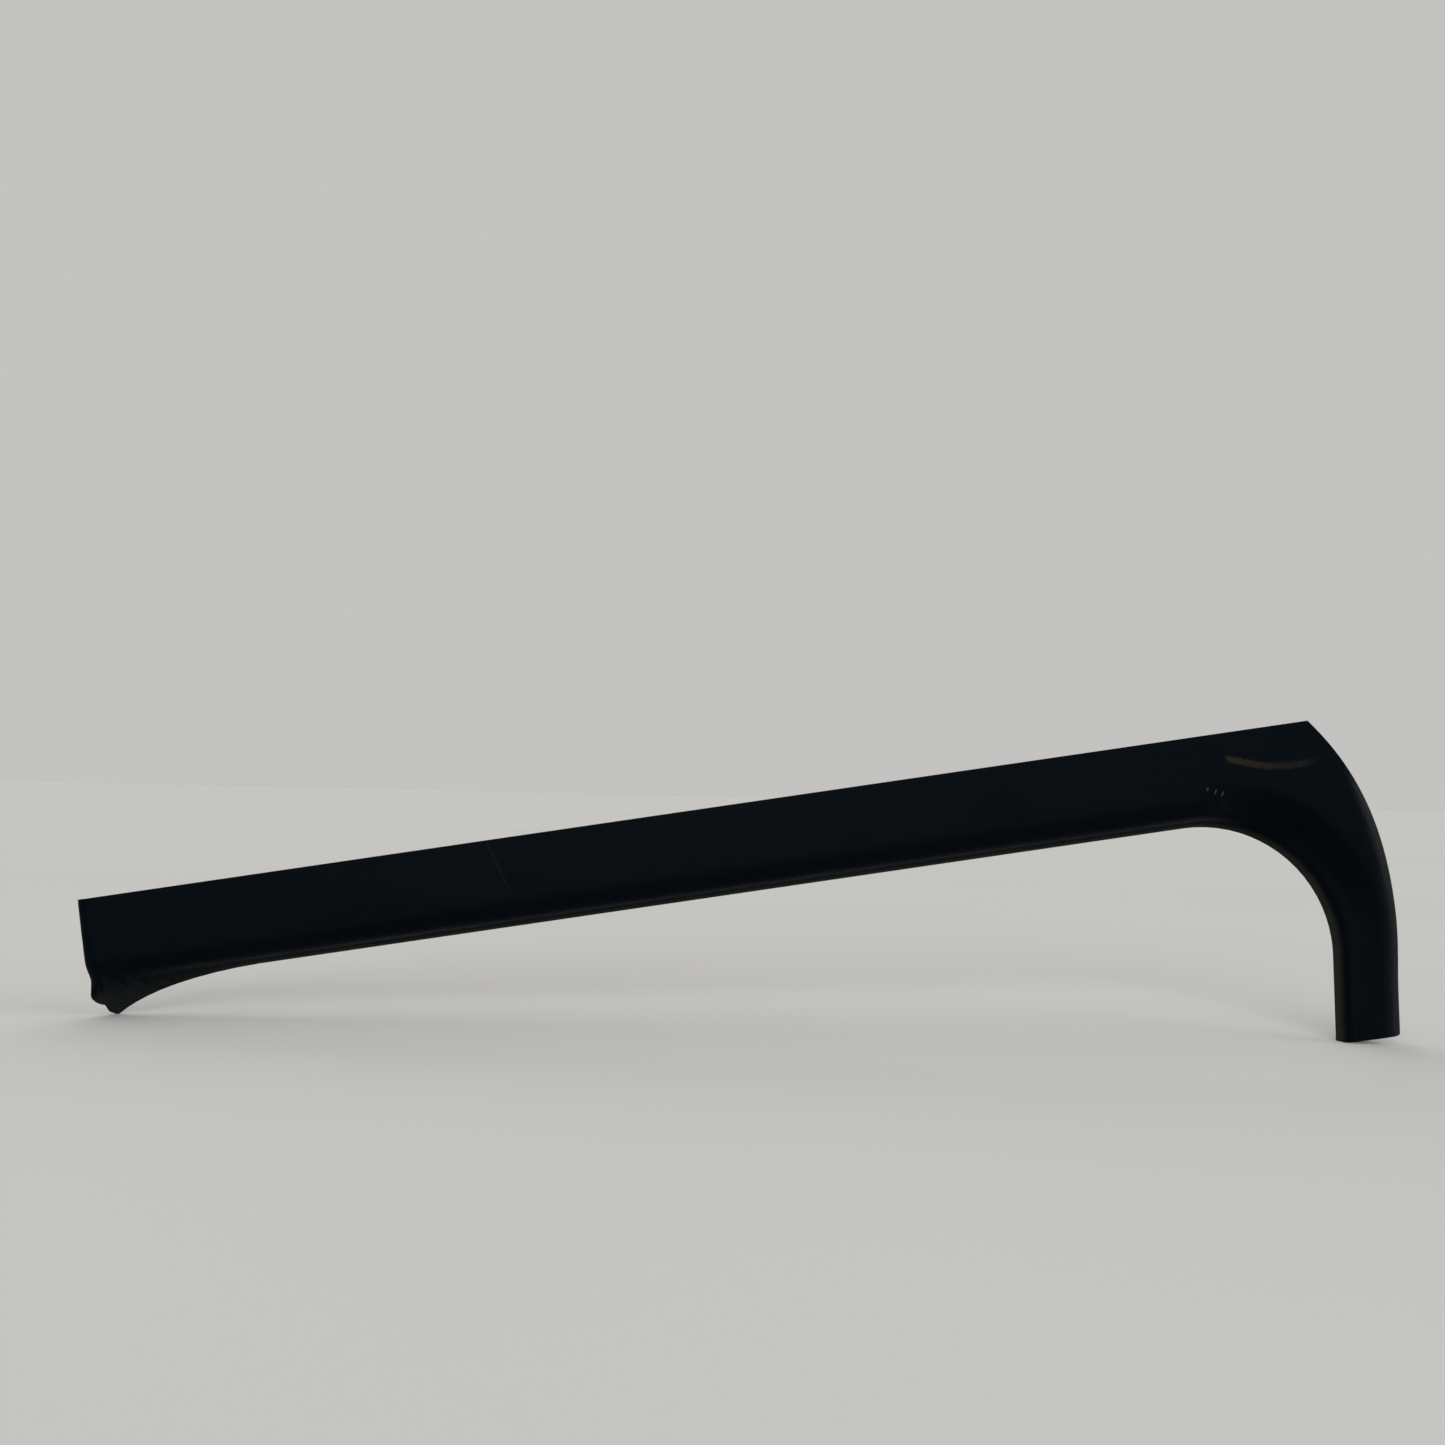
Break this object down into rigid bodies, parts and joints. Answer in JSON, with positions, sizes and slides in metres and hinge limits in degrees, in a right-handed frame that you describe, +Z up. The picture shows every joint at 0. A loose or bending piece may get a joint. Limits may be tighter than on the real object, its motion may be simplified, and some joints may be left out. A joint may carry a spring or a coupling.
{
  "type": "door sill trim panel",
  "caption": "Moulded black door sill trim with a curved pillar leg at one end, push-in retainer clips, seal washers and foam blocks on its back.",
  "frame": {"origin": "bottom centre of the bounding box as the trim stands on its nose and its foot", "axes": "+X from the nose end to the leg end, along the floor; +Y from the show face to the back, the way the clips point; +Z up"},
  "size_m": [1.096, 0.0557, 0.2656],
  "materials": {
    "trim_plastic": "fine moulded grain, low gloss, light scuffs",
    "clip_nylon": "natural white nylon, satin",
    "washer_foam": "closed-cell foam",
    "foam": "open-cell grey foam",
    "felt": "black needled felt"
  },
  "bodies": {
    "trim_panel": {"sill_trim_panel": "trim_plastic", "felt_edge_tape": "felt", "foam_block_1": "foam", "foam_block_2": "foam", "foam_block_3": "foam", "foam_block_4": "foam", "foam_block_5": "foam", "retainer_clip_3": "clip_nylon", "seal_washer_3": "washer_foam"},
    "clip_1": {"retainer_clip_1": "clip_nylon", "seal_washer_1": "washer_foam"},
    "clip_2": {"retainer_clip_2": "clip_nylon", "seal_washer_2": "washer_foam"},
    "clip_4": {"retainer_clip_4": "clip_nylon", "seal_washer_4": "washer_foam"},
    "clip_5": {"retainer_clip_5": "clip_nylon", "seal_washer_5": "washer_foam"},
    "clip_6": {"retainer_clip_6": "clip_nylon", "seal_washer_6": "washer_foam"},
    "clip_7": {"retainer_clip_7": "clip_nylon", "seal_washer_7": "washer_foam"}
  },
  "joints": [
    {"name": "clip_1_float", "type": "slide", "parent": "trim_panel", "child": "clip_1", "axis": [0.9862, 0, 0.1654], "range_m": [-0.0015, 0.0015]},
    {"name": "clip_2_float", "type": "slide", "parent": "trim_panel", "child": "clip_2", "axis": [0.9862, 0, 0.1654], "range_m": [-0.0015, 0.0015]},
    {"name": "clip_4_float", "type": "slide", "parent": "trim_panel", "child": "clip_4", "axis": [0.9862, 0, 0.1654], "range_m": [-0.0015, 0.0015]},
    {"name": "clip_5_float", "type": "slide", "parent": "trim_panel", "child": "clip_5", "axis": [0.9862, 0, 0.1654], "range_m": [-0.0015, 0.0015]},
    {"name": "clip_6_float", "type": "slide", "parent": "trim_panel", "child": "clip_6", "axis": [0.9862, 0, 0.1654], "range_m": [-0.0015, 0.0015]},
    {"name": "clip_7_float", "type": "slide", "parent": "trim_panel", "child": "clip_7", "axis": [0.9862, 0, 0.1654], "range_m": [-0.0015, 0.0015]}
  ]
}
